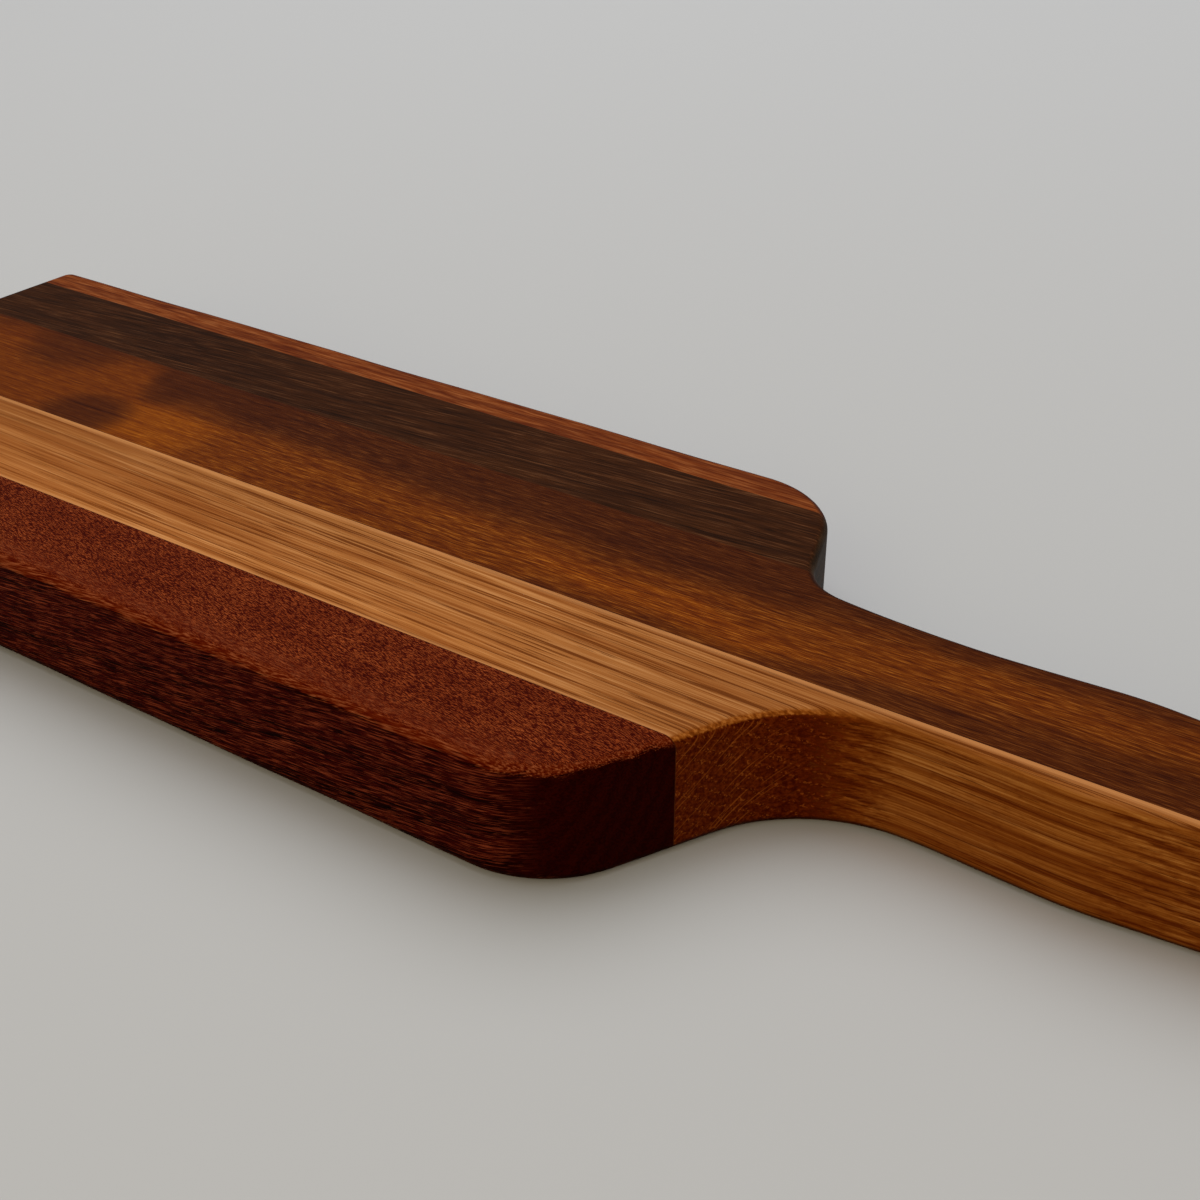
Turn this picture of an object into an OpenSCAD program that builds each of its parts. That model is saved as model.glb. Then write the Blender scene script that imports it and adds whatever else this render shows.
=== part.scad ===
// Paddle charcuterie board: five hardwood staves edge-glued into one blank, cut to a blade whose two
// swept shoulders run into a waisted handle, with every outer edge rolled over by sanding.
// Millimetres. The origin is under the middle of the board's box, +X runs along it to the handle's
// tip, +Z is up, and the near side is -Y.

/* [Board] */
// Length of the blade, from its square end to the root of the handle
blade_l = 210; // [150:1:400]
// Length of the handle, from its root to its tip
handle_l = 95; // [80:1:160]
// Thickness of the board
board_t = 19; // [12:0.5:32]
// Radius rolled onto every outer edge
edge_r = 2; // [0.6:0.1:2.4]
// Radius of the two corners at the blade's square end
corner_r = 2.5; // [2.5:0.1:12]

/* [Staves] */
// Width of the sapele stave along the near edge
near_sapele_w = 19.1; // [14:0.1:40]
// Width of the oak stave
oak_w = 22.2; // [16:0.1:40]
// Width of the brown walnut stave, most of which runs on into the handle
brown_walnut_w = 27.8; // [25:0.1:40]
// Width of the dark walnut stave
dark_walnut_w = 18; // [10:0.1:40]
// Width of the sapele stave along the far edge
far_sapele_w = 8; // [4:0.1:30]
// Thickness of the cured glue in each joint
glue_t = 0.1; // [0.06:0.01:0.3]

/* [Near shoulder] */
// Angle by which the shoulder's straight leans toward the handle
near_shoulder_lean = 26.5; // [15:0.5:40]
// Radius of the shoulder's turn
near_shoulder_r = 18.5; // [8:0.1:24]
// Radius of the cove where the shoulder runs into the handle
near_cove_r = 24; // [12:0.1:30]
// Angle at which the cove gives way to the long sweep of the waist
near_cove_turn = 2.2; // [0.5:0.1:8]
// Distance from the handle's root out to the waist
near_waist_out = 26.7; // [20:0.1:34]
// Radius of the long sweep at the waist
near_waist_r = 68; // [45:1:110]

/* [Far shoulder] */
// Angle by which the shoulder's straight leans toward the handle
far_shoulder_lean = 20; // [10:0.5:35]
// Radius of the shoulder's turn
far_shoulder_r = 18.5; // [8:0.1:24]
// Radius of the cove where the shoulder runs into the handle
far_cove_r = 11; // [6:0.1:16]
// Angle at which the cove gives way to the long sweep of the waist
far_cove_turn = 9; // [5:0.5:12]
// Distance from the handle's root out to the waist
far_waist_out = 22.2; // [16:0.1:30]
// Radius of the long sweep at the waist
far_waist_r = 140; // [90:1:180]

/* [Handle] */
// Width of the handle at its waist
neck_w = 25; // [20:0.1:30]
// Width of oak left along the near edge of the waist
neck_oak_w = 2.4; // [1.5:0.1:6]
// How far the grip swells past the waist on each side
grip_swell = 0.9; // [0.4:0.1:1.2]
// Radius of the long swell of the grip
grip_r = 65; // [50:1:90]
// Length of the straight between the sweep of the waist and the swell of the grip
grip_straight = 15; // [5:0.5:25]
// Radius of the handle's round tip
tip_r = 10; // [8:0.1:12]
// Diameter of the hole that the board hangs by
hole_d = 9.5; // [5:0.1:12]
// Distance from the tip to the centre of that hole
hole_in = 11; // [9:0.1:20]
// Width of the countersink that eases each rim of the hole
hole_ease = 0.8; // [0.3:0.1:1.5]

/* [Hidden] */

// Cuts and slabs run past the wood by this much
overrun = 5;
// Facets on each of a side's six rounds, from the corner to the tip, and on the rolled edge. The waist
// starts at its second point, as its first one is the cove's last.
first_step = [0, 0, 0, 1, 0, 0];
round_steps = [4, 8, 9, 4, 3, 9];
roll_steps = 3;
// Half the angle of the facet that closes the tip
tip_half_facet = 5;
// Most of the corner radius and of half the thickness that the rolled edge may take
roll_limit_share = 0.9;

board_l = blade_l + handle_l;
end_x = -board_l / 2;
tip_x = board_l / 2;
root_x = end_x + blade_l;
stave_w = [near_sapele_w, oak_w, brown_walnut_w, dark_walnut_w, far_sapele_w];
// The near face of each stave, reached by the staves and glue films before it
function width_before(i) = i == 0 ? 0 : width_before(i - 1) + stave_w[i - 1] + glue_t;
board_w = width_before(len(stave_w) - 1) + far_sapele_w;
near_y = -board_w / 2;
far_y = board_w / 2;
function low_y(i) = near_y + width_before(i);
function high_y(i) = low_y(i) + stave_w[i];
// The handle is placed by the width of oak that the waist leaves of its second stave
handle_y = high_y(1) + glue_t / 2 - neck_oak_w + neck_w / 2;
hole_x = tip_x - hole_in;
roll_r = min(edge_r, roll_limit_share * corner_r, roll_limit_share * board_t / 2);

// The board's outline is a belt laid round six rounds on each side, each written [x, y, radius].
// Where the belt passes on a round's inner side, as in a cove, its radius is negative.
// The near side is written as it lies, and the far side as its mirror image, with -y outward in both.
// The waist is placed from the root, the cove touches the waist's circle from within, and the shoulder
// lies where a straight of the wanted lean touches both it and the cove. The grip lies where its straight
// from the waist has the wanted length.
function side_rounds(centre_y, shoulder_lean, shoulder_r, cove_r, cove_turn, waist_out, waist_r) =
    let (
        neck_y = centre_y - neck_w / 2,
        waist = [root_x + waist_out, neck_y - waist_r, -waist_r],
        cove = waist + (waist_r - cove_r) * [-sin(cove_turn), cos(cove_turn), 1],
        shoulder_y = near_y + shoulder_r,
        lean_reach = shoulder_r + cove_r + sin(shoulder_lean) * (cove.y - shoulder_y),
        grip_reach = sqrt(pow(grip_straight, 2) + grip_swell * (2 * (waist_r + grip_r) - grip_swell))
    )
    [
        [end_x + corner_r, near_y + corner_r, corner_r],
        [cove.x - lean_reach / cos(shoulder_lean), shoulder_y, shoulder_r],
        cove,
        waist,
        [waist.x + grip_reach, neck_y - grip_swell + grip_r, grip_r],
        [tip_x - tip_r * cos(tip_half_facet), centre_y, tip_r],
    ];
near_rounds = side_rounds(
    handle_y, near_shoulder_lean, near_shoulder_r, near_cove_r, near_cove_turn, near_waist_out, near_waist_r
);
far_rounds = side_rounds(
    -handle_y, far_shoulder_lean, far_shoulder_r, far_cove_r, far_cove_turn, far_waist_out, far_waist_r
);

// Angle of the outward normal on the straight that leaves round a for round b, touching both. Rounding
// may take the ratio a hair past one where the two rounds touch.
function leaving_angle(a, b) =
    let (ratio = (a[2] - b[2]) / norm([b.x - a.x, b.y - a.y]))
    atan2(b.y - a.y, b.x - a.x) - acos(max(-1, min(1, ratio)));
// Points along one side's belt drawn in by inset, from the square end to the tip
function side_points(rounds, inset) =
    let (
        last = len(rounds) - 1,
        angles = [-180, for (i = [0:last - 1]) leaving_angle(rounds[i], rounds[i + 1]), -tip_half_facet]
    )
    [
        for (i = [0:last], k = [first_step[i]:round_steps[i]])
            let (
                angle = angles[i] + (angles[i + 1] - angles[i]) * k / round_steps[i],
                r = rounds[i][2] - inset
            )
            [rounds[i].x + r * cos(angle), rounds[i].y + r * sin(angle)]
    ];
// The whole outline, counterclockwise: the near side to the tip, then the far side back
function outline(inset) =
    let (near = side_points(near_rounds, inset), far = side_points(far_rounds, inset))
    [for (p = near) p, for (i = [len(far) - 1:-1:0]) [far[i].x, -far[i].y]];

// Triangles that close a ring between point i of its near side and point j of its far side, each one
// stepping on along the side whose next point lies less far along x
function strip(ring, i, j) =
    i + 1 == j ? []
    : ring[i + 1].x < ring[j - 1].x ? concat([[i, i + 1, j]], strip(ring, i + 1, j))
    : concat([[i, j - 1, j]], strip(ring, i, j - 1));

// The glued blank after shaping: outlines stacked up the rolled edges and the wall between them,
// closed by a strip of triangles under and over it.
module blank() {
    roll = [for (k = [0:roll_steps]) 90 * k / roll_steps];
    up = [for (a = roll) [roll_r * (1 - sin(a)), roll_r * (1 - cos(a))]];
    levels = [for (u = up) u, for (i = [roll_steps:-1:0]) [up[i][0], board_t - up[i][1]]];
    rings = [for (level = levels) outline(level[0])];
    n = len(rings[0]);
    top = (len(levels) - 1) * n;
    points = [for (i = [0:len(levels) - 1]) for (p = rings[i]) [p.x, p.y, levels[i][1]]];
    walls = [
        for (k = [0:len(levels) - 2], i = [0:n - 1])
            [k * n + i, (k + 1) * n + i, (k + 1) * n + (i + 1) % n, k * n + (i + 1) % n]
    ];
    underside = strip(rings[0], 0, n - 1);
    face = [for (t = underside) [top + t[2], top + t[1], top + t[0]]];
    polyhedron(points, concat(walls, underside, face));
}

// The slice of the blank between two glue faces
module slice(low, high) {
    intersection() {
        blank();
        translate([end_x - overrun, low, -overrun])
        cube([board_l + 2 * overrun, high - low, board_t + 2 * overrun]);
    }
}

// Glue film between stave i and the next one
module glue_film(i) {
    slice(high_y(i), low_y(i + 1));
}

// The drilled hanging hole with a countersunk rim at each face
module hanging_hole() {
    translate([hole_x, handle_y, -overrun])
    cylinder(d = hole_d, h = board_t + 2 * overrun, $fn = 64);
    for (flip = [0, 1])
        translate([hole_x, handle_y, flip * board_t])
        mirror([0, 0, flip])
        translate([0, 0, -hole_ease])
        cylinder(d1 = hole_d + 4 * hole_ease, d2 = hole_d, h = 2 * hole_ease, $fn = 64);
}

// Red-brown stave that forms the near long edge and the turn of the near shoulder
module near_sapele_stave() {
    color([0.36, 0.14, 0.08])
    slice(near_y - overrun, high_y(0));
}

// Tan stave that ends in the near cove and leaves a sliver along the handle's near edge
module oak_stave() {
    color([0.62, 0.40, 0.22])
    slice(low_y(1), high_y(1));
}

// Widest stave, which runs on as nearly all of the handle and takes the hanging hole
module brown_walnut_stave() {
    color([0.42, 0.22, 0.10])
    difference() {
        slice(low_y(2), high_y(2));
        hanging_hole();
    }
}

// Grey-brown stave that ends on the straight of the far shoulder
module dark_walnut_stave() {
    color([0.22, 0.13, 0.09])
    slice(low_y(3), high_y(3));
}

// Narrow red-orange stave that forms the far long edge and the turn of the far shoulder
module far_sapele_stave() {
    color([0.50, 0.22, 0.12])
    slice(low_y(4), far_y + overrun);
}

// The four glue films, from the near joint to the far one
module glue_near_sapele_to_oak() {
    color([0.70, 0.60, 0.42])
    glue_film(0);
}

module glue_oak_to_walnut() {
    color([0.70, 0.60, 0.42])
    glue_film(1);
}

module glue_walnut_to_walnut() {
    color([0.70, 0.60, 0.42])
    glue_film(2);
}

module glue_walnut_to_far_sapele() {
    color([0.70, 0.60, 0.42])
    glue_film(3);
}

near_sapele_stave();
oak_stave();
brown_walnut_stave();
dark_walnut_stave();
far_sapele_stave();
glue_near_sapele_to_oak();
glue_oak_to_walnut();
glue_walnut_to_walnut();
glue_walnut_to_far_sapele();
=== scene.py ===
"""The looks of the paddle charcuterie board: five oiled hardwood staves, glued edge to edge, then shaped
and sanded as one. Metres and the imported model's frame: +X runs to the handle's tip, -Y is the near side."""
import bpy
import numpy as np
from mathutils import Matrix, Vector


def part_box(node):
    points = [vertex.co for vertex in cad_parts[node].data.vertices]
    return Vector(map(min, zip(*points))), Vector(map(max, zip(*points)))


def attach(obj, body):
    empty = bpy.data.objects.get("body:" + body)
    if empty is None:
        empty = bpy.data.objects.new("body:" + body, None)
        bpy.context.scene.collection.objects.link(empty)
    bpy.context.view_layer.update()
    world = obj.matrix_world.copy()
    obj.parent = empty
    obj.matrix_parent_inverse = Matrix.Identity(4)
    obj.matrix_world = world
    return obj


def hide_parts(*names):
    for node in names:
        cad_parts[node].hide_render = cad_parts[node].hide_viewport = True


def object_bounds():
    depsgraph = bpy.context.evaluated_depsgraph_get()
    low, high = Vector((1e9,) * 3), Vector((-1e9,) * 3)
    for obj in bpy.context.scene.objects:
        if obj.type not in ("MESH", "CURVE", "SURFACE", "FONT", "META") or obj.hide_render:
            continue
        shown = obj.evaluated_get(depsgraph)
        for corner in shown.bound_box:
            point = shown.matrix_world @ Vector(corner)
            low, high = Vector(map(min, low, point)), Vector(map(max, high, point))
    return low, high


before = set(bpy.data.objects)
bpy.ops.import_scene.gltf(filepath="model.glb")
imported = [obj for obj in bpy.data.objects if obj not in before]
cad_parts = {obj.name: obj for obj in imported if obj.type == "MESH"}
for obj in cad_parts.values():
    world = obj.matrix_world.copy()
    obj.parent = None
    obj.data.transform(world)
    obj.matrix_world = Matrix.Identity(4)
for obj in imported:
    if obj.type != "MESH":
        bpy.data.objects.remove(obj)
cad_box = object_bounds()

# Camera
# The photograph is taken from the near side, a little above the handle, close enough that most of the
# square end and the handle's last third run out of the picture.
lens_mm = 52.685
camera_place = Vector((0.160003, -0.191929, 0.152352))
camera_right = Vector((0.818984, 0.573816, -0.001224))
camera_up = Vector((-0.287726, 0.412501, 0.864324))
camera = bpy.data.objects.new("camera", bpy.data.cameras.new("camera"))
camera.data.lens = lens_mm
camera_axes = Matrix((camera_right, camera_up, camera_right.cross(camera_up))).transposed()
camera.matrix_world = Matrix.Translation(camera_place) @ camera_axes.to_4x4()
bpy.context.scene.collection.objects.link(camera)
bpy.context.scene.camera = camera

# Near sapele stave
# The red-brown stave along the near edge, which ends in the turn of the near shoulder. It was bandsawn
# and sanded to the outline with the rest of the board, then its edges were rolled over by hand.
mm = 0.001
end_x, near_y, _ = cad_box[0]
tip_x, _, board_t = cad_box[1]
handle_l = 95 * mm
root_x = tip_x - handle_l
corner_r = 2.5 * mm
neck_w = 25 * mm
oak_sliver_w = 2.35 * mm
handle_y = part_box("oak_stave")[1].y - oak_sliver_w + neck_w / 2
grip_swell = 0.9 * mm
grip_straight = 15 * mm
grip_r = 65 * mm
tip_r = 10 * mm
near_shoulder = {
    "lean": 26.5, "turn_r": 18.5, "cove_r": 24, "cove_turn": 2.2, "waist_out": 26.7, "waist_r": 68,
}
edge_roll_r = 1.9 * mm
handle_tightness = 0.2
tightening_l = 20 * mm
hand_sanding = 0.25 * mm
face_inset = 0.4 * mm
roll_steps = 7
arc_points = 80
side_points = 2400
leg_points = 24
long_run_points = 420
crease = np.radians(32)


def side_rounds(centre_y, lean, turn_r, cove_r, cove_turn, waist_out, waist_r):
    """The six rounds that one side's outline is laid round, as rows of x, y and signed radius.

    The side is seen with -y outward, sizes are in millimetres and turns in degrees. The cove touches the
    waist's circle from within at cove_turn, the shoulder touches a straight that leans by the given angle,
    and the grip lies a straight past the waist.
    """
    turn_r, cove_r, waist_out, waist_r = (size * mm for size in (turn_r, cove_r, waist_out, waist_r))
    lean, cove_turn = np.radians((lean, cove_turn))
    neck_y = centre_y - neck_w / 2
    waist = np.array((root_x + waist_out, neck_y - waist_r, -waist_r))
    cove = waist + (waist_r - cove_r) * np.array((-np.sin(cove_turn), np.cos(cove_turn), 1))
    shoulder_y = near_y + turn_r
    lean_reach = turn_r + cove_r + np.sin(lean) * (cove[1] - shoulder_y)
    grip_reach = np.sqrt(grip_straight ** 2 + grip_swell * (2 * (waist_r + grip_r) - grip_swell))
    return np.array([
        (end_x + corner_r, near_y + corner_r, corner_r),
        (cove[0] - lean_reach / np.cos(lean), shoulder_y, turn_r),
        cove,
        waist,
        (waist[0] + grip_reach, neck_y - grip_swell + grip_r, grip_r),
        (tip_x - tip_r, centre_y, tip_r),
    ])


def spread_evenly(points, count):
    """count points at equal distances along a line of points, each column carried linearly between them."""
    gaps = np.linalg.norm(np.diff(points[:, :2], axis=0), axis=1)
    travelled = np.concatenate(([0], np.cumsum(gaps)))
    wanted = np.linspace(0, travelled[-1], count)
    return np.column_stack([np.interp(wanted, travelled, column) for column in points.T])


def side_line(rounds):
    """The belt round one side's rounds, from the square end to the tip: rows of x, y and outward normal.

    The normal on the straight from one round to the next is the direction between their centres, turned
    back by the arc cosine of their radii's difference over their distance. Arcs join these normals.
    """
    step, reach = np.diff(rounds[:, :2], axis=0), -np.diff(rounds[:, 2])
    ratio = np.clip(reach / np.hypot(*step.T), -1, 1)
    leaving = np.arctan2(step[:, 1], step[:, 0]) - np.arccos(ratio)
    angles = np.concatenate(([-np.pi], leaving, [0]))
    sweep = np.linspace(angles[:-1], angles[1:], arc_points).T
    normals = np.stack((np.cos(sweep), np.sin(sweep)), axis=2)
    arcs = rounds[:, None, :2] + rounds[:, None, 2:] * normals
    line = np.concatenate((arcs, normals), axis=2).reshape(-1, 4)
    return spread_evenly(line, side_points)


def roll_radius(x, y):
    """Radius of the rolled edge: the hand-sanded edge wanders by a sum of three sines of x and y, over the
    sum of their weights, 2.1, and the handle's is tighter."""
    x_mm, y_mm = x / mm, y / mm
    wander = np.sin(x_mm / 11) + 0.6 * np.sin(x_mm / 5.3 + y_mm / 7) + 0.5 * np.sin(y_mm / 4.1)
    on_handle = np.clip((x - root_x) / tightening_l, 0, 1)
    return edge_roll_r * (1 - handle_tightness * on_handle) + hand_sanding * wander / 2.1


def skin_levels():
    """The levels at which a stave's skin is drawn, lowest first: roll angle, side (1 top, -1 bottom), inset.

    The roll angle is 0 where the roll leaves the wall and a quarter turn where it meets a face. The first
    and last levels lie a little inside the roll, so that the flat faces shade flat.
    """
    roll = np.linspace(0, np.pi / 2, roll_steps + 1)
    rising = np.column_stack((roll, np.ones_like(roll), np.zeros_like(roll)))
    face = np.array([[np.pi / 2, 1, face_inset]])
    top = np.concatenate((rising, face))
    return np.concatenate((top[::-1] * (1, -1, 1), top))


def rolled_line(line, level):
    """A side's line at one level: drawn in along its normals by radius times one less the cosine of the roll
    angle, and moved off the nearer face by radius times one less the sine. Rows of x, y and z."""
    angle, side, extra = level
    radius = roll_radius(line[:, 0], line[:, 1])
    inset = radius * (1 - np.cos(angle)) + extra
    drop = radius * (1 - np.sin(angle))
    z = board_t - drop if side > 0 else drop
    return np.column_stack((line[:, 0] - inset * line[:, 2], line[:, 1] - inset * line[:, 3], z))


def cut_between(points, low, high):
    """The stretch of a line from where it rises past y = low to where it next passes y = high, with its ends
    cut exactly there. Without a low it begins where the line does."""
    start = 0
    if low is not None:
        start = np.flatnonzero((points[:-1, 1] < low) & (points[1:, 1] >= low))[0]
    stop = np.flatnonzero(points[start + 1:, 1] > high)[0] + start + 1
    stretch = points[start:stop + 1].copy()
    for end, inner, height in ((0, 1, low), (-1, -2, high)):
        if height is not None:
            share = (height - stretch[inner, 1]) / (stretch[end, 1] - stretch[inner, 1])
            stretch[end] = stretch[inner] + share * (stretch[end] - stretch[inner])
    return stretch


near_line = side_line(side_rounds(handle_y, **near_shoulder))


def stave_ring(run, run_points, level, *joints):
    """A stave's ring at one level: its outer run, spread over that many points, then straight legs past its
    corners on the square end, which lie at the y of the given joints, and back to the run's start."""
    run = spread_evenly(run, run_points)
    square_x, _, z = rolled_line(near_line[:1], level)[0]
    stops = np.array([run[-1], *((square_x, joint_y, z) for joint_y in joints), run[0]])
    legs = [np.linspace(a, b, leg_points)[:-1] for a, b in zip(stops[:-1], stops[1:])]
    return np.concatenate([run[:-1], *legs])


def wall_quads(levels, count):
    """The quads of a wall of stacked rings: each point and the next on its ring, and the two above them."""
    level, spot = np.meshgrid(np.arange(levels - 1), np.arange(count), indexing="ij")
    here = level * count + spot
    after = level * count + (spot + 1) % count
    return np.stack((here, after, after + count, here + count), axis=-1).reshape(-1, 4)


def made_piece(name, points, faces):
    """A piece of these points and faces, smooth but for its creases, at the origin of the scene."""
    mesh = bpy.data.meshes.new(name)
    mesh.from_pydata(points.tolist(), [], faces)
    mesh.shade_smooth()
    mesh.set_sharp_from_angle(angle=crease)
    piece = bpy.data.objects.new(name, mesh)
    bpy.context.scene.collection.objects.link(piece)
    return piece


def stave_skin(name, ring_at):
    """A solid stave from its ring at each level, closed by one flat face below and one above."""
    rings = np.array([ring_at(level) for level in skin_levels()])
    levels, count, _ = rings.shape
    rim = np.arange(count)
    flats = [rim[::-1].tolist(), (rim + (levels - 1) * count).tolist()]
    return made_piece(name, rings.reshape(-1, 3), wall_quads(levels, count).tolist() + flats)


_, near_sapele_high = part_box("near_sapele_stave")


def near_sapele_ring(level):
    """The near sapele's ring: the near side up to the first joint, back along it, down the square end."""
    run = cut_between(rolled_line(near_line, level), None, near_sapele_high.y)
    return stave_ring(run, long_run_points, level, near_sapele_high.y)


near_sapele = stave_skin("near_sapele_wood", near_sapele_ring)


def shade(red, green, blue):
    """A screen colour of 0 to 255 as the linear light that the shader takes, by the sRGB curve."""
    value = np.array((red, green, blue)) / 255
    linear = np.where(value <= 0.04045, value / 12.92, ((value + 0.055) / 1.055) ** 2.4)
    return (*linear.tolist(), 1.0)


class Wood:
    """The nodes of one stave's finish, or the glue's, with all places in millimetres. The fibres run along x
    of the fibre frame: the board's, turned by rise, up toward the handle, and by drift, to the near side."""

    def __init__(self, name, rise=0.0, drift=0.0):
        self.material = bpy.data.materials.new(name)
        self.material.use_nodes = True
        self.tree = self.material.node_tree
        self.skin = self.tree.nodes["Principled BSDF"]
        read = self.lay("ShaderNodeTexCoord")
        in_mm = (1 / mm, 1 / mm, 1 / mm)
        self.board = self.lay("ShaderNodeMapping", Vector=read.outputs["Object"], Scale=in_mm).outputs[0]
        self.fibre = self.turned(self.board, rise, drift)
        self.x, self.y, self.z = self.axes(self.board)
        facing_x, facing_y, facing_z = self.axes(read.outputs["Normal"])
        self.facing_x = self.maths("ABSOLUTE", facing_x)
        self.facing_z = self.maths("ABSOLUTE", facing_z)
        self.low_roll = self.times(self.step(facing_z, -0.05, -0.5), self.step(facing_z, -0.995, -0.9))
        # The far roll, which the far staves darken with painted shade.
        self.far_roll = self.times(self.step(facing_y, 0.1, 0.35), self.step(self.facing_z, 0.2, 0.5))

    def feed(self, socket, value):
        """Joins another node's socket to this one, or sets it to a plain value."""
        if isinstance(value, bpy.types.NodeSocket):
            self.tree.links.new(value, socket)
        else:
            socket.default_value = value

    def lay(self, kind, properties=(), **inputs):
        """One node: properties set how it works, and each input takes another node's socket or a value."""
        node = self.tree.nodes.new(kind)
        for name, value in dict(properties).items():
            setattr(node, name, value)
        for name, value in inputs.items():
            self.feed(node.inputs[name.replace("_", " ")], value)
        return node

    def axes(self, place):
        """The x, y and z of a place."""
        return self.lay("ShaderNodeSeparateXYZ", Vector=place).outputs

    def turned(self, place, rise, drift):
        """The place in a frame turned by rise, up toward the handle, and by drift, to the near side."""
        turn = (0.0, np.radians(rise), np.radians(drift))
        return self.lay("ShaderNodeMapping", Vector=place, Rotation=turn).outputs[0]

    def maths(self, operation, *values, kind="ShaderNodeMath"):
        """One sum, of sockets or plain numbers, or of places with vector maths."""
        node = self.lay(kind, {"operation": operation})
        for socket, value in zip(node.inputs, values):
            self.feed(socket, value)
        return node.outputs[0]

    def times(self, product, *others):
        """The product of two or more shares."""
        for value in others:
            product = self.maths("MULTIPLY", product, value)
        return product

    def noise(self, place, along, across, depth, detail=2.0, rough=0.5, shift=0.0):
        """Noise from 0 to 1 around a half, with grains of the given sizes in millimetres. A shift moves it,
        so that two noises of one size don't agree."""
        sized = self.lay(
            "ShaderNodeMapping", Vector=place, Scale=(1 / along, 1 / across, 1 / depth),
            Location=(shift, shift * 1.7, shift * 0.6),
        )
        return self.lay(
            "ShaderNodeTexNoise", Vector=sized.outputs[0], Scale=1.0, Detail=detail, Roughness=rough
        ).outputs[0]

    def swung(self, base, noise, reach):
        """The base, moved up or down by a noise's distance from a half, times the reach."""
        return self.maths("MULTIPLY_ADD", self.maths("SUBTRACT", noise, 0.5), reach, base)

    def bent(self, place, reach, along, across):
        """The place, moved across the fibres by up to the reach in slow waves of the given sizes."""
        sized = self.lay("ShaderNodeMapping", Vector=place, Scale=(1 / along, 1 / across, 1 / across))
        wave = self.lay("ShaderNodeTexNoise", Vector=sized.outputs[0], Scale=1.0, Detail=1.0)
        vectors = "ShaderNodeVectorMath"
        centred = self.maths("SUBTRACT", wave.outputs["Color"], (0.5, 0.5, 0.5), kind=vectors)
        return self.maths("MULTIPLY_ADD", centred, (0.0, 2 * reach, 2 * reach), place, kind=vectors)

    def step(self, value, low, high):
        """A smooth rise from 0 at low to 1 at high. With low above high it is a fall."""
        start, end = (1.0, 0.0) if low > high else (0.0, 1.0)
        return self.lay(
            "ShaderNodeMapRange", {"interpolation_type": "SMOOTHSTEP"}, Value=value,
            From_Min=min(low, high), From_Max=max(low, high), To_Min=start, To_Max=end,
        ).outputs["Result"]

    def tint(self, share, below, above, blend="MIX"):
        """A colour from below, where the share is 0, to above, where it is 1. Sockets 0, 6 and 7 of the node
        are its share and its two colours, and its output 2 is a colour."""
        node = self.lay("ShaderNodeMix", {"data_type": "RGBA", "blend_type": blend})
        for place, value in ((0, share), (6, below), (7, above)):
            self.feed(node.inputs[place], value)
        return node.outputs[2]

    def toned(self, share, colour, cast):
        """The colour where the share is 0, to the colour times the cast where it is 1."""
        return self.tint(share, colour, cast, "MULTIPLY")

    def ramp(self, value, *stops):
        """A colour ramp through stops of place and colour."""
        node = self.lay("ShaderNodeValToRGB", Fac=value)
        elements = node.color_ramp.elements
        for _ in stops[2:]:
            elements.new(0.5)
        for element, (place, colour) in zip(elements, stops):
            element.position = place
            element.color = colour
        return node.outputs["Color"]

    def end_grain(self, heart, ring_mm, dark, light):
        """The colours of a sawn end: fine pores on rings ring_mm apart, which are the sine of the distance
        out of a heart at the given y and z."""
        out_y, out_z = (self.maths("SUBTRACT", *pair) for pair in zip((self.y, self.z), heart))
        out = self.maths("SQRT", self.maths("MULTIPLY_ADD", out_y, out_y, self.times(out_z, out_z)))
        uneven = self.noise(self.board, 30, 9, 9, shift=11)
        phase = self.maths("MULTIPLY_ADD", uneven, 9.0, self.times(out, 2 * np.pi / ring_mm))
        pores = self.noise(self.board, 3, 0.34, 0.34, rough=0.6, shift=6)
        mottled = self.maths("MULTIPLY_ADD", self.maths("SINE", phase), 0.07, pores)
        return self.ramp(mottled, (0.36, dark), (0.66, light))

    def oiled(self, colour, relief, relief_mm, shine=0.02):
        """Gives the skin its colour, with painted shade on the low roll where it meets the table, its low
        relief and a satin oil finish that is duller where the relief is low."""
        # Painted shade: the low roll next to the table is darkened toward grey.
        low_roll_shade, warm_sheen = shade(130, 124, 120), shade(255, 190, 125)
        dull, satin = 0.56, 0.42
        shaded_colour = self.toned(self.low_roll, colour, low_roll_shade)
        roughness = self.lay("ShaderNodeMapRange", Value=relief, To_Min=dull, To_Max=satin)
        bump = self.lay("ShaderNodeBump", Strength=1.0, Distance=relief_mm * mm, Height=relief)
        self.feed(self.skin.inputs["Base Color"], shaded_colour)
        self.feed(self.skin.inputs["Roughness"], roughness.outputs["Result"])
        self.feed(self.skin.inputs["Normal"], bump.outputs["Normal"])
        self.skin.inputs["Specular IOR Level"].default_value = shine
        self.skin.inputs["Specular Tint"].default_value = warm_sheen
        return self.material


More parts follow.
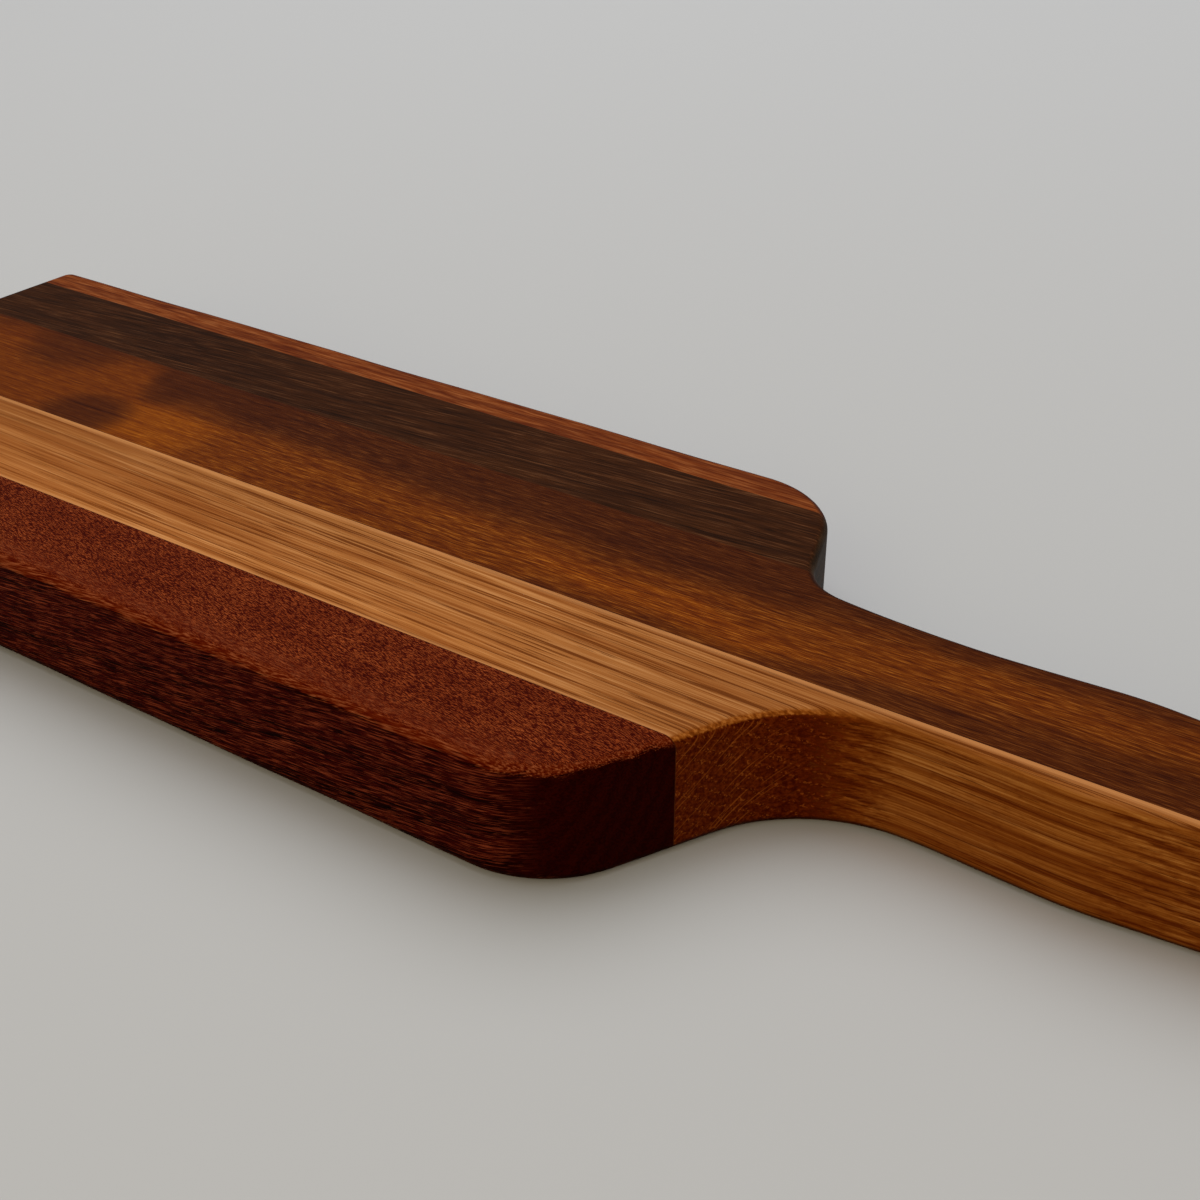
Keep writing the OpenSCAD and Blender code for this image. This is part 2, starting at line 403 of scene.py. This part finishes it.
def near_sapele_finish():
    """Near sapele: the fibres climb toward the handle, so the top cuts them into short flecks, and the wall
    shows them as long wavy streaks with light slits. The face's colour, lighter near the edge and on the
    roll, gives way over the rolled edge to the wall's at a ragged line with a dark band below. The end grain
    is oiled nearly black."""
    rise, drift = 6.5, 12
    wood = Wood("near_sapele", rise=rise)
    waved = wood.bent(wood.fibre, 0.7, 22, 5)
    cut_fibres = wood.turned(wood.board, rise, drift)
    lit, shaded = (
        wood.noise(cut_fibres, 5, 0.12, 0.09, detail=1.0, rough=0.6, shift=place) for place in (0, 0.42)
    )
    flecks = wood.maths("ADD", wood.maths("SUBTRACT", lit, shaded), 0.5)
    streaks = wood.noise(waved, 7, 2.5, 0.24, detail=3.0, rough=0.7, shift=3)
    layers = wood.noise(waved, 80, 5, 2.2, detail=1.0, shift=8)
    clouds = wood.noise(wood.board, 12, 3.6, 3.6, detail=1.0, shift=7)
    dents = wood.noise(wood.board, 8, 8, 8, detail=1.0, shift=21)
    edge_fibres = wood.noise(waved, 4.5, 0.24, 0.2, rough=0.6, shift=5)
    slits = wood.noise(waved, 3.2, 1.2, 0.14, detail=1.0, shift=14)
    top = wood.ramp(
        flecks, (0.30, shade(55, 3, 0)), (0.46, shade(72, 9, 0)), (0.53, shade(83, 17, 0)),
        (0.66, shade(156, 73, 32)),
    )
    top = wood.toned(wood.step(clouds, 0.36, 0.64), top, shade(233, 217, 206))
    edge_tone = wood.ramp(
        edge_fibres, (0.34, shade(72, 8, 0)), (0.5, shade(98, 28, 3)), (0.68, shade(150, 78, 44)),
    )
    near_edge = near_y / mm
    by_edge = wood.times(wood.step(wood.y, near_edge + 7, near_edge + 2), 0.55)
    on_roll = wood.step(wood.facing_z, 0.99, 0.88)
    top = wood.tint(wood.maths("MAXIMUM", by_edge, on_roll), top, edge_tone)
    wall = wood.ramp(
        streaks, (0.38, shade(16, 0, 0)), (0.47, shade(44, 2, 1)), (0.54, shade(62, 8, 3)),
        (0.66, shade(128, 56, 32)),
    )
    wall = wood.toned(wood.step(layers, 0.50, 0.34), wall, shade(160, 120, 110))
    wall = wood.tint(wood.times(wood.step(slits, 0.59, 0.66), 0.6), wall, shade(134, 58, 34))
    dark_band = wood.times(wood.step(wood.facing_z, 0.02, 0.2), wood.step(layers, 0.62, 0.42), 0.7)
    wall = wood.tint(dark_band, wall, shade(26, 0, 0))
    end = wood.end_grain(heart=(-130, 60), ring_mm=2.4, dark=shade(28, 0, 0), light=shade(44, 3, 0))
    ragged = wood.swung(wood.swung(wood.swung(wood.facing_z, streaks, 1.3), edge_fibres, 0.5), dents, 0.8)
    colour = wood.tint(wood.step(ragged, 0.28, 0.5), wall, top)
    sawn_end = wood.times(wood.step(wood.facing_x, 0.15, 0.6), wood.step(ragged, 0.75, 0.35))
    colour = wood.tint(sawn_end, colour, end)
    return wood.oiled(colour, flecks, 0.04, shine=0.012)


near_sapele.data.materials.append(near_sapele_finish())
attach(near_sapele, "root")
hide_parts("near_sapele_stave")

# Oak stave
# The tan stave that ends in the near cove and leaves a sliver of itself along the handle's near edge. It is
# glued between the near sapele and the brown walnut. Its rings stand at a slant, so the top and the
# handle's wall both show rows of open pores.
oak_low, oak_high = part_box("oak_stave")


def oak_ring(level):
    """The oak's ring: the near side between its two joints, and back along them round the square end."""
    run = cut_between(rolled_line(near_line, level), oak_low.y, oak_high.y)
    return stave_ring(run, long_run_points, level, oak_high.y, oak_low.y)


def oak_finish():
    """Oak: slanted rings whose early wood holds rows of long dark pores, fainter toward the square end, with
    a pale line where the glue sealed the joints. The wall carries painted shade, darker and more orange than
    the face. Where the cove turns, the wall is darker still, partly with painted shade of the hollow, and its
    pores are cut short. On the end grain the pores are light specks in rows, crossed by thin pale rays, and
    painted shade darkens the end where it curves into the cove."""
    wood = Wood("oak", drift=1.0)
    waved = wood.bent(wood.fibre, 0.4, 110, 12)
    _, y, z = wood.axes(waved)
    diagonal = 0.707
    ring_rate = 2.9
    depth = wood.maths("MULTIPLY_ADD", y, diagonal, z)
    uneven = wood.noise(waved, 120, 4, 3, rough=0.6, shift=12)
    phase = wood.maths("MULTIPLY_ADD", uneven, 7.0, wood.times(depth, ring_rate))
    rings = wood.maths("MULTIPLY_ADD", wood.maths("SINE", phase), 0.5, 0.5)
    early = wood.step(rings, 0.4, 1.0)
    broad = wood.noise(waved, 120, 2.6, 2.6, detail=3.0, rough=0.6, shift=9)
    strength = wood.maths("MULTIPLY_ADD", wood.step(wood.x, -30, -80), -0.45, 1.0)

    def grain(across_y, across_z):
        """The tan of a face whose pores and fibres are as wide as given, and how much of a pore it is."""
        pores = wood.noise(waved, 22, across_y, across_z)
        fibres = wood.noise(waved, 28, across_y, across_z, detail=3.0, rough=0.7, shift=5)
        pore = wood.step(wood.maths("MULTIPLY_ADD", early, 0.12, pores), 0.630, 0.668)
        tan = wood.ramp(
            wood.swung(0.5, fibres, strength),
            (0.3, shade(140, 74, 20)), (0.5, shade(179, 112, 54)), (0.7, shade(214, 152, 94)),
        )
        tan = wood.toned(wood.step(broad, 0.40, 0.62), tan, shade(222, 204, 176))
        tan = wood.tint(wood.times(early, 0.25), tan, shade(134, 70, 20))
        darkness = wood.times(strength, 0.8)
        return wood.tint(wood.times(pore, darkness), tan, shade(104, 46, 4)), pore

    face, face_pore = grain(0.38, 2.4)
    dark_side = wood.times(wood.step(wood.y, -17, -10), wood.step(wood.x, 20, -20))
    pale_side = wood.times(wood.step(wood.y, -20, -26), wood.step(wood.x, 60, 10))
    low_joint = wood.step(wood.maths("ABSOLUTE", wood.maths("SUBTRACT", wood.y, oak_low.y / mm)), 0.9, 0.1)
    high_joint = wood.step(wood.maths("ABSOLUTE", wood.maths("SUBTRACT", wood.y, oak_high.y / mm)), 1.5, 0.4)
    sealed = wood.times(wood.maths("MAXIMUM", low_joint, high_joint), 0.6)
    face = wood.toned(dark_side, face, shade(240, 239, 237))
    face = wood.toned(pale_side, face, (1.12, 1.14, 1.18, 1.0))
    face = wood.toned(wood.step(wood.x, 15, 50), face, shade(240, 238, 236))
    face = wood.tint(sealed, face, shade(212, 146, 88))
    wall, _ = grain(1.0, 0.3)
    wall = wood.tint(wood.times(early, 0.36), wall, shade(112, 42, 0))
    # Painted shade: the wall is toned darker and more orange than the face, a little less so toward the cove.
    wall_shade = wood.tint(wood.step(wood.x, 104, 88), shade(211, 197, 158), shade(218, 207, 178))
    wall = wood.toned(1.0, wall, wall_shade)
    side = wood.tint(wood.step(wood.facing_z, 0.95, 0.6), face, wall)

    slant = wood.times(wood.maths("ADD", wood.y, wood.z), diagonal)
    across = wood.times(wood.maths("SUBTRACT", wood.z, wood.y), diagonal)
    ray_place = wood.lay(
        "ShaderNodeCombineXYZ", X=wood.times(wood.x, 0.05), Y=wood.times(across, 3.6),
        Z=wood.times(slant, 0.12),
    )
    rays = wood.lay("ShaderNodeTexNoise", Vector=ray_place.outputs[0], Scale=1.0, Detail=1.0).outputs[0]
    specks = wood.noise(wood.board, 0.9, 0.32, 0.32, detail=1.0, shift=2)
    mottle = wood.noise(wood.board, 1.5, 0.5, 0.5, rough=0.6, shift=4)
    end = wood.ramp(mottle, (0.34, shade(64, 12, 0)), (0.5, shade(84, 26, 0)), (0.66, shade(104, 40, 5)))
    end = wood.tint(wood.times(early, wood.step(specks, 0.56, 0.66), 0.5), end, shade(166, 90, 34))
    ray = wood.times(wood.step(wood.facing_x, 0.5, 0.8), wood.step(rays, 0.61, 0.70), 0.55)
    end = wood.tint(ray, end, shade(156, 82, 28))
    # Painted shade: the end grain is darker where it curves into the cove, away from the flat square end.
    end = wood.toned(wood.step(wood.facing_x, 0.88, 0.6), end, shade(238, 224, 210))

    on_roll = wood.times(wood.step(wood.facing_z, 0.2, 0.5), wood.step(wood.facing_z, 0.97, 0.85))
    turned_roll = wood.times(wood.step(wood.facing_x, 0.12, 0.35), on_roll)
    roll_tone = wood.ramp(
        mottle, (0.34, shade(112, 52, 8)), (0.52, shade(144, 76, 22)), (0.66, shade(176, 106, 44)),
    )
    side = wood.tint(turned_roll, side, roll_tone)
    roll = wood.swung(wood.facing_z, specks, 0.3)
    turning = wood.swung(wood.facing_x, mottle, 0.5)
    # Partly painted shade: the wall darkens where it turns into the cove's hollow, where its pores are cut
    # short.
    cove_turn = wood.times(wood.step(turning, 0.0, 0.35), wood.step(roll, 0.7, 0.5))
    side = wood.toned(cove_turn, side, shade(205, 173, 130))
    cut_pores = wood.noise(wood.board, 4, 1.2, 0.36, rough=0.6, shift=17)
    side = wood.tint(wood.times(cove_turn, wood.step(cut_pores, 0.54, 0.62), 0.5), side, shade(84, 30, 0))
    sawn_end = wood.times(wood.step(turning, 0.30, 0.54), wood.step(roll, 0.68, 0.54))
    colour = wood.tint(sawn_end, side, end)
    return wood.oiled(colour, wood.maths("SUBTRACT", 1.0, face_pore), 0.03)


oak = stave_skin("oak_wood", oak_ring)
oak.data.materials.append(oak_finish())
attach(oak, "root")
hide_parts("oak_stave")

# Brown walnut stave
# The widest stave, which runs on as nearly all of the handle, round its tip and up to the far cove. The
# hole that the board hangs by is drilled through it near the tip, and its rims are eased.
walnut_low, walnut_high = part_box("brown_walnut_stave")
far_shoulder = {
    "lean": 20, "turn_r": 18.5, "cove_r": 11, "cove_turn": 9, "waist_out": 22.2, "waist_r": 140,
}
far_line = side_line(side_rounds(-handle_y, **far_shoulder))
walnut_run_points = 700
hole_r = 4.75 * mm
hole_x = tip_x - 11 * mm
hole_ease = 0.8 * mm
hole_ease_steps = 6
hole_points = 96
bright_patch = (-74, 1, 15, 16)
glow_patch = (36, 0, 34, 4)
smoky_patches = (
    (-90, -3, 12, 11, 1.0), (-84, 16, 9, 9, 0.9), (-115, 18, 16, 12, 0.9), (14, 9, 24, 5, 0.5),
    (84, -7, 40, 9, 0.95), (86, 16, 34, 7, 0.6), (116, -6, 54, 13, 0.95), (30, -7.5, 70, 3.5, 0.6),
)


def mirrored(points):
    """A line seen from the board's other side, run the other way so that it still goes anticlockwise."""
    return (points * (1, -1, 1))[::-1]


def walnut_ring(level):
    """The walnut's ring: from the oak joint round the tip to the far cove, and back round the square end."""
    near = rolled_line(near_line, level)
    far = mirrored(rolled_line(far_line, level))
    run = cut_between(np.concatenate((near, far[1:])), walnut_low.y, walnut_high.y)
    return stave_ring(run, walnut_run_points, level, walnut_high.y, walnut_low.y)


def hole_rings():
    """The hole's rings, lowest first. At each rim an angle goes through a quarter turn: the radius grows by
    the ease times one less its cosine, and the height leaves the face by that times one less its sine."""
    turn = np.linspace(0, 2 * np.pi, hole_points, endpoint=False)
    roll = np.linspace(np.pi / 2, 0, hole_ease_steps)
    widths = hole_r + hole_ease * (1 - np.cos(roll))
    depths = hole_ease * (1 - np.sin(roll))
    radius = np.concatenate((widths, widths[::-1]))
    height = np.concatenate((depths, board_t - depths[::-1]))
    return np.stack((
        hole_x + radius[:, None] * np.cos(turn),
        handle_y + radius[:, None] * np.sin(turn),
        np.broadcast_to(height[:, None], (len(height), hole_points)),
    ), axis=2)


def walnut_skin(name):
    """The walnut with its hole: its outer skin and the hole's wall, joined by two flat faces on each side
    that meet on the line through the hole from the square end to the tip."""
    rings = np.array([walnut_ring(level) for level in skin_levels()])
    hole = hole_rings()
    levels, count, _ = rings.shape
    hole_levels, around, _ = hole.shape
    first_hole = levels * count
    bore = first_hole + wall_quads(hole_levels, around)[:, (0, 3, 2, 1)]
    rim_x, rim_y, _ = rings[0].T
    tip = int(np.argmax(rim_x))
    square_end = np.flatnonzero(rim_x < rim_x.min() + mm / 1000)
    middle = int(square_end[np.argmin(abs(rim_y[square_end] - handle_y))])
    half = around // 2
    # Each half goes along the skin's rim from one end of that line to the other, and back round the hole.
    halves = (
        (np.concatenate((np.arange(middle, count), np.arange(tip + 1))),
         np.concatenate(([0], np.arange(around - 1, half - 1, -1)))),
        (np.arange(tip, middle + 1), np.arange(half, -1, -1)),
    )
    top_ring = (levels - 1) * count
    top_hole = first_hole + (hole_levels - 1) * around
    flats = [
        np.concatenate((rim + ring_at, arc + hole_at))[::way].tolist()
        for ring_at, hole_at, way in ((0, first_hole, -1), (top_ring, top_hole, 1))
        for rim, arc in halves
    ]
    points = np.concatenate((rings.reshape(-1, 3), hole.reshape(-1, 3)))
    return made_piece(name, points, wall_quads(levels, count).tolist() + bore.tolist() + flats)


def blot(wood, x, y, centre_x, centre_y, reach_x, reach_y):
    """A soft patch, 1 at its centre and 0 past its reach each way, in millimetres."""
    across = wood.maths("MULTIPLY_ADD", x, 1 / reach_x, -centre_x / reach_x)
    up = wood.maths("MULTIPLY_ADD", y, 1 / reach_y, -centre_y / reach_y)
    spread = wood.maths("ADD", wood.times(across, across), wood.times(up, up))
    return wood.step(spread, 1.0, 0.1)


def brown_walnut_finish():
    """Brown walnut: golden toward the oak and smoky toward the dark walnut, except near the square end,
    where the gold fills the stave but for the dark shadow of a knot. Fine straight dashes and longer threads
    lie over it all. Painted shade darkens its far roll and, more softly, its walls."""
    wood = Wood("brown_walnut", drift=-0.6)
    waved = wood.bent(wood.fibre, 0.7, 40, 8)
    dashes = wood.noise(waved, 4, 0.2, 0.2, detail=3.0, rough=0.62)
    strength = wood.maths("MULTIPLY_ADD", wood.step(wood.x, -45, -80), -0.5, 1.0)
    dashes = wood.swung(0.5, dashes, strength)
    threads = wood.noise(waved, 24, 0.36, 0.36, detail=3.0, rough=0.7, shift=15)
    bands = wood.noise(waved, 50, 1.4, 1.4, detail=3.0, rough=0.65, shift=4)
    smoke = wood.bent(wood.bent(wood.board, 3, 22, 9), 1.2, 7, 4)
    x, y, _ = wood.axes(smoke)
    edge = wood.maths("MULTIPLY_ADD", wood.step(x, -82, -96), -11.0, y)
    edge = wood.maths("MULTIPLY_ADD", wood.step(x, 30, 100), -3.0, edge)
    golden = wood.step(edge, 14.0, 4.2)
    bright = blot(wood, x, y, *bright_patch)
    glow = blot(wood, x, y, *glow_patch)
    smoky = 0.0
    for *patch, darkness in smoky_patches:
        smoky = wood.maths("MAXIMUM", smoky, wood.times(blot(wood, x, y, *patch), darkness))
    red = wood.ramp(
        dashes, (0.33, shade(46, 9, 0)), (0.46, shade(67, 24, 0)), (0.55, shade(77, 32, 3)),
        (0.68, shade(108, 56, 18)),
    )
    gold = wood.ramp(
        dashes, (0.33, shade(72, 21, 0)), (0.46, shade(104, 44, 0)), (0.55, shade(120, 57, 2)),
        (0.68, shade(162, 94, 28)),
    )
    colour = wood.tint(golden, red, gold)
    colour = wood.toned(bright, colour, (1.5, 1.7, 1.9, 1.0))
    colour = wood.toned(glow, colour, (1.32, 1.35, 1.2, 1.0))
    colour = wood.tint(wood.times(smoky, 0.9), colour, red)
    colour = wood.toned(wood.step(bands, 0.42, 0.66), colour, shade(224, 210, 192))
    colour = wood.toned(wood.step(threads, 0.54, 0.70), colour, (1.3, 1.4, 1.5, 1.0))
    colour = wood.toned(wood.step(threads, 0.46, 0.32), colour, shade(206, 182, 150))
    # Painted shade: the far roll darkens to a thin dark line.
    colour = wood.tint(wood.times(wood.far_roll, 0.85), colour, shade(36, 11, 0))
    # Painted shade: the walls and steep rolls are toned darker and warmer than the face.
    colour = wood.toned(wood.step(wood.facing_z, 0.75, 0.3), colour, shade(220, 185, 140))
    end = wood.end_grain(heart=(40, -70), ring_mm=3.2, dark=shade(34, 9, 0), light=shade(70, 30, 6))
    colour = wood.tint(wood.step(wood.facing_x, 0.3, 0.75), colour, end)
    return wood.oiled(colour, dashes, 0.02)


brown_walnut = walnut_skin("brown_walnut_wood")
brown_walnut.data.materials.append(brown_walnut_finish())
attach(brown_walnut, "root")
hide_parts("brown_walnut_stave")

# Dark walnut stave
# The grey-brown heartwood stave that ends on the straight of the far shoulder. It was ripped from a darker
# plank than the brown walnut, then glued and shaped with the others.
dark_low, dark_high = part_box("dark_walnut_stave")
dark_run_points = 160


def dark_walnut_ring(level):
    """The dark walnut's ring: the far side between its two joints, and back along them."""
    run = mirrored(cut_between(rolled_line(far_line, level), -dark_high.y, -dark_low.y))
    return stave_ring(run, dark_run_points, level, dark_high.y, dark_low.y)


def dark_walnut_finish():
    """Dark walnut: fine grey-brown fibres that swing toward the far side by the shoulder."""
    wood = Wood("dark_walnut", drift=-5.0)
    waved = wood.bent(wood.fibre, 1.6, 50, 9)
    dashes = wood.noise(waved, 12, 0.36, 0.36, detail=3.0, rough=0.68)
    bands = wood.noise(waved, 40, 2.2, 2.2, detail=3.0, rough=0.6, shift=4)
    brown = wood.ramp(
        dashes, (0.32, shade(28, 8, 0)), (0.45, shade(56, 25, 3)), (0.56, shade(68, 33, 9)),
        (0.70, shade(106, 66, 38)),
    )
    colour = wood.toned(wood.step(bands, 0.38, 0.66), brown, shade(204, 198, 190))
    colour = wood.toned(wood.step(wood.x, -20, -60), colour, shade(236, 234, 228))
    end = wood.end_grain(heart=(10, -60), ring_mm=2.6, dark=shade(33, 21, 11), light=shade(62, 43, 25))
    colour = wood.tint(wood.step(wood.facing_x, 0.3, 0.75), colour, end)
    return wood.oiled(colour, dashes, 0.02)


dark_walnut = stave_skin("dark_walnut_wood", dark_walnut_ring)
dark_walnut.data.materials.append(dark_walnut_finish())
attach(dark_walnut, "root")
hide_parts("dark_walnut_stave")

# Far sapele stave
# The narrow red-orange stave along the far edge, which forms the turn of the far shoulder. It is straighter
# in the grain and lighter than the near one, and was glued on and shaped with the rest.
far_sapele_low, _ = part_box("far_sapele_stave")


def far_sapele_ring(level):
    """The far sapele's ring: the far side from the last joint to the square end, and along the joint."""
    run = mirrored(cut_between(rolled_line(far_line, level), None, -far_sapele_low.y))
    return stave_ring(run, long_run_points, level, far_sapele_low.y)


def far_sapele_finish():
    """Far sapele: straight red-orange fibres with lighter streaks, and painted shade on the far roll."""
    wood = Wood("far_sapele", drift=-0.5)
    waved = wood.bent(wood.fibre, 0.6, 30, 5)
    dashes = wood.noise(waved, 7, 0.42, 0.42, detail=3.0, rough=0.65)
    bands = wood.noise(waved, 22, 1.5, 1.5, rough=0.55, shift=4)
    red = wood.ramp(dashes, (0.3, shade(92, 32, 4)), (0.48, shade(124, 57, 16)), (0.72, shade(162, 96, 50)))
    colour = wood.toned(wood.step(bands, 0.40, 0.66), red, shade(200, 178, 160))
    # Painted shade: the far roll darkens to a thin dark line.
    colour = wood.tint(wood.times(wood.far_roll, 0.8), colour, shade(58, 18, 2))
    end = wood.end_grain(heart=(140, 50), ring_mm=2.4, dark=shade(28, 4, 0), light=shade(62, 16, 3))
    colour = wood.tint(wood.step(wood.facing_x, 0.3, 0.8), colour, end)
    return wood.oiled(colour, dashes, 0.02)


far_sapele = stave_skin("far_sapele_wood", far_sapele_ring)
far_sapele.data.materials.append(far_sapele_finish())
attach(far_sapele, "root")
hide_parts("far_sapele_stave")

# Glue lines
# The four films of cured wood glue, a tenth of a millimetre thick, planed and sanded flush with the wood.
# They are dark brown and slightly mottled, and take the same oil as the staves.
film_run_points = 3


def glue_finish():
    """Cured glue: two dark browns that a soft noise mixes."""
    glue = Wood("glue")
    mottle = glue.noise(glue.board, 3, 1, 1)
    brown = glue.ramp(mottle, (0.3, shade(60, 26, 8)), (0.7, shade(84, 42, 16)))
    return glue.oiled(brown, mottle, 0.01)


def film_ring(line_side, low_y, high_y):
    """The ring of a film between two heights of y, which the near line or the far one crosses."""
    def ring_at(level):
        if line_side == "near":
            run = cut_between(rolled_line(near_line, level), low_y, high_y)
        else:
            run = mirrored(cut_between(rolled_line(far_line, level), -high_y, -low_y))
        return stave_ring(run, film_run_points, level, high_y, low_y)
    return ring_at


cured_glue = glue_finish()
for joint, line_side in (
    ("near_sapele_to_oak", "near"),
    ("oak_to_walnut", "near"),
    ("walnut_to_walnut", "far"),
    ("walnut_to_far_sapele", "far"),
):
    film_low, film_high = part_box("glue_" + joint)
    film = stave_skin("glue_line_" + joint, film_ring(line_side, film_low.y, film_high.y))
    film.data.materials.append(cured_glue)
    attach(film, "root")
    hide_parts("glue_" + joint)

# Table and light
# A pale grey table without an edge in view. A wide cool lamp hangs behind the board and a smaller warm one
# stands in front, in an even room light.
table_reach = 12.0
table_drop = 0.02 * mm
table_corners = np.array([(-1, -1, 0), (1, -1, 0), (1, 1, 0), (-1, 1, 0)]) * table_reach - (0, 0, table_drop)
table = made_piece("table", table_corners, [(0, 1, 2, 3)])
table_paint = bpy.data.materials.new("table")
table_paint.use_nodes = True
table_skin = table_paint.node_tree.nodes["Principled BSDF"]
table_skin.inputs["Base Color"].default_value = shade(199, 199, 200)
table_skin.inputs["Roughness"].default_value = 0.8
table_skin.inputs["Specular IOR Level"].default_value = 0.1
table.data.materials.append(table_paint)


def soft_lamp(name, place, width, watts, tone):
    """A square lamp of the given width and tone that faces the board from its place."""
    lamp = bpy.data.objects.new(name, bpy.data.lights.new(name, "AREA"))
    lamp.data.color = tone
    lamp.data.size = width
    lamp.data.energy = watts
    lamp.matrix_world = Matrix.Translation(place) @ (-place).to_track_quat("-Z", "Y").to_matrix().to_4x4()
    bpy.context.scene.collection.objects.link(lamp)


high_behind = Vector((-0.31, 0.55, 1.2))
low_in_front = Vector((0.3, -1.2, 0.5))
soft_lamp("lamp_behind", high_behind, width=1.5, watts=14.95, tone=(0.912, 0.957, 1.0))
soft_lamp("lamp_in_front", low_in_front, width=1.2, watts=6.2, tone=(1.0, 0.805, 0.42))

room = bpy.data.worlds.new("room")
room.use_nodes = True
room_light = room.node_tree.nodes["Background"]
room_light.inputs["Color"].default_value = (1.0, 0.93, 0.84, 1.0)
room_light.inputs["Strength"].default_value = 0.30
bpy.context.scene.world = room
bpy.context.scene.view_settings.view_transform = "Standard"
